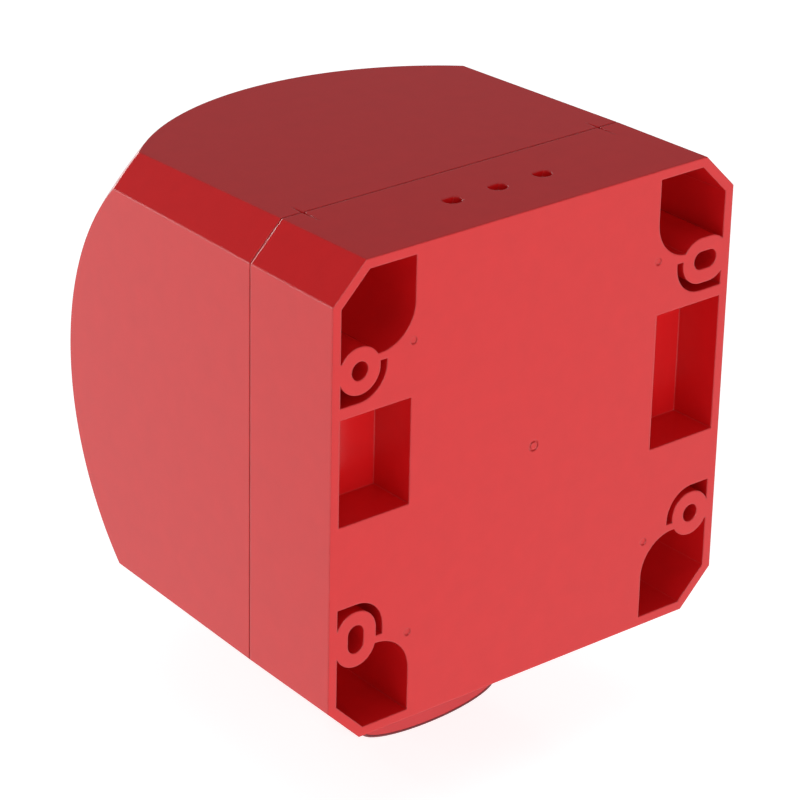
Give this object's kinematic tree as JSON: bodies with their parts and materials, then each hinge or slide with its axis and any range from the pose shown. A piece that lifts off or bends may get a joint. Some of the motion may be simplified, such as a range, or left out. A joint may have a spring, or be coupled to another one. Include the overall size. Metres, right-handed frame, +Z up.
{
  "type": "horn strobe",
  "caption": "Square wall-mounted horn strobe with a deep domed cover, a central horn and a red flash lens hanging beneath the cover.",
  "frame": {"origin": "centre of the flat wall face", "axes": "+Z up, +Y out of the wall face into the wall, the horn fires along -Y, +X to the right seen from the front"},
  "size_m": [0.13, 0.1265, 0.1633],
  "materials": {
    "red_abs": "satin moulded, self-coloured red",
    "horn_abs": "satin moulded, darker red",
    "lens_red": "clear red moulded lens, gloss",
    "seal_rubber": "matte",
    "black_nylon": "matte moulded",
    "green_nylon": "matte moulded",
    "blue_nylon": "matte moulded",
    "white_nylon": "matte moulded",
    "chip_epoxy": "matte moulded epoxy",
    "board_laminate": "solder-resist green laminate",
    "capacitor_sleeve": "shrink sleeve",
    "brass": "turned",
    "copper": "enamelled copper wire",
    "steel": "zinc plated",
    "ferrite": "sintered, dull",
    "driver_casting": "die cast",
    "diaphragm_film": "thin formed film",
    "reflector_mirror": "bright metallised",
    "flash_glass": "clear glass"
  },
  "bodies": {
    "base": {"rear_base": "red_abs", "base_gasket": "seal_rubber", "threaded_inserts": "brass", "blanking_plug": "red_abs", "plug_seal": "seal_rubber", "plug_nut": "black_nylon", "main_board": "board_laminate", "board_screws": "steel", "board_components": "chip_epoxy", "controller_chip": "chip_epoxy", "terminal_block": "green_nylon", "terminal_screws": "steel", "dip_switch_body": "blue_nylon", "volume_body": "blue_nylon", "flash_capacitor": "capacitor_sleeve", "inverter_coil": "copper", "inverter_core": "ferrite", "link_header": "black_nylon", "link_pins": "brass"},
    "front_unit": {"front_cover": "red_abs", "front_dome": "red_abs", "mouth_guard": "black_nylon", "horn_flare": "horn_abs", "flare_screws": "steel", "driver_cup": "black_nylon", "driver_screws": "steel", "driver_back_plate": "steel", "driver_magnet": "ferrite", "driver_top_plate": "steel", "surround_ring": "seal_rubber", "driver_front_plate": "driver_casting", "link_socket": "black_nylon", "lens_gasket": "seal_rubber", "strobe_lens": "lens_red", "lens_screws": "steel", "strobe_board": "board_laminate", "strobe_screws": "steel", "strobe_reflector": "reflector_mirror", "xenon_tube": "flash_glass", "tube_electrodes": "steel", "trigger_coil": "copper", "screw_seals": "seal_rubber"},
    "diaphragm": {"diaphragm": "diaphragm_film", "voice_coil": "copper"},
    "volume_rotor": {"volume_rotor": "white_nylon"},
    "dip_lever_1": {"dip_lever_1": "white_nylon"},
    "dip_lever_2": {"dip_lever_2": "white_nylon"},
    "dip_lever_3": {"dip_lever_3": "white_nylon"},
    "dip_lever_4": {"dip_lever_4": "white_nylon"},
    "dip_lever_5": {"dip_lever_5": "white_nylon"},
    "dip_lever_6": {"dip_lever_6": "white_nylon"},
    "cover_screw_1": {"cover_screw_1": "steel"},
    "cover_screw_2": {"cover_screw_2": "steel"},
    "cover_screw_3": {"cover_screw_3": "steel"},
    "cover_screw_4": {"cover_screw_4": "steel"}
  },
  "joints": [
    {"name": "front_unit_lift_off", "type": "slide", "parent": "base", "child": "front_unit", "axis": [0, -1, 0], "range_m": [0, 0.09]},
    {"name": "cover_screw_1_turn", "type": "hinge", "parent": "front_unit", "child": "cover_screw_1", "pos_m": [0.034, -0.04, 0.052], "axis": [0, -1, 0], "continuous": true},
    {"name": "cover_screw_2_turn", "type": "hinge", "parent": "front_unit", "child": "cover_screw_2", "pos_m": [-0.034, -0.04, 0.052], "axis": [0, -1, 0], "continuous": true},
    {"name": "cover_screw_3_turn", "type": "hinge", "parent": "front_unit", "child": "cover_screw_3", "pos_m": [-0.034, -0.04, -0.052], "axis": [0, -1, 0], "continuous": true},
    {"name": "cover_screw_4_turn", "type": "hinge", "parent": "front_unit", "child": "cover_screw_4", "pos_m": [0.034, -0.04, -0.052], "axis": [0, -1, 0], "continuous": true},
    {"name": "diaphragm_stroke", "type": "slide", "parent": "front_unit", "child": "diaphragm", "axis": [0, -1, 0], "range_m": [-0.0004, 0.0004], "stiffness_N_per_m": 2000},
    {"name": "volume_turn", "type": "hinge", "parent": "base", "child": "volume_rotor", "pos_m": [-0.022, -0.017, 0.03], "axis": [0, -1, 0], "range_deg": [-135, 135]},
    {"name": "dip_lever_1_slide", "type": "slide", "parent": "base", "child": "dip_lever_1", "axis": [1, 0, 0], "range_m": [0, 0.002]},
    {"name": "dip_lever_2_slide", "type": "slide", "parent": "base", "child": "dip_lever_2", "axis": [1, 0, 0], "range_m": [0, 0.002]},
    {"name": "dip_lever_3_slide", "type": "slide", "parent": "base", "child": "dip_lever_3", "axis": [1, 0, 0], "range_m": [0, 0.002]},
    {"name": "dip_lever_4_slide", "type": "slide", "parent": "base", "child": "dip_lever_4", "axis": [1, 0, 0], "range_m": [0, 0.002]},
    {"name": "dip_lever_5_slide", "type": "slide", "parent": "base", "child": "dip_lever_5", "axis": [1, 0, 0], "range_m": [0, 0.002]},
    {"name": "dip_lever_6_slide", "type": "slide", "parent": "base", "child": "dip_lever_6", "axis": [1, 0, 0], "range_m": [0, 0.002]}
  ]
}
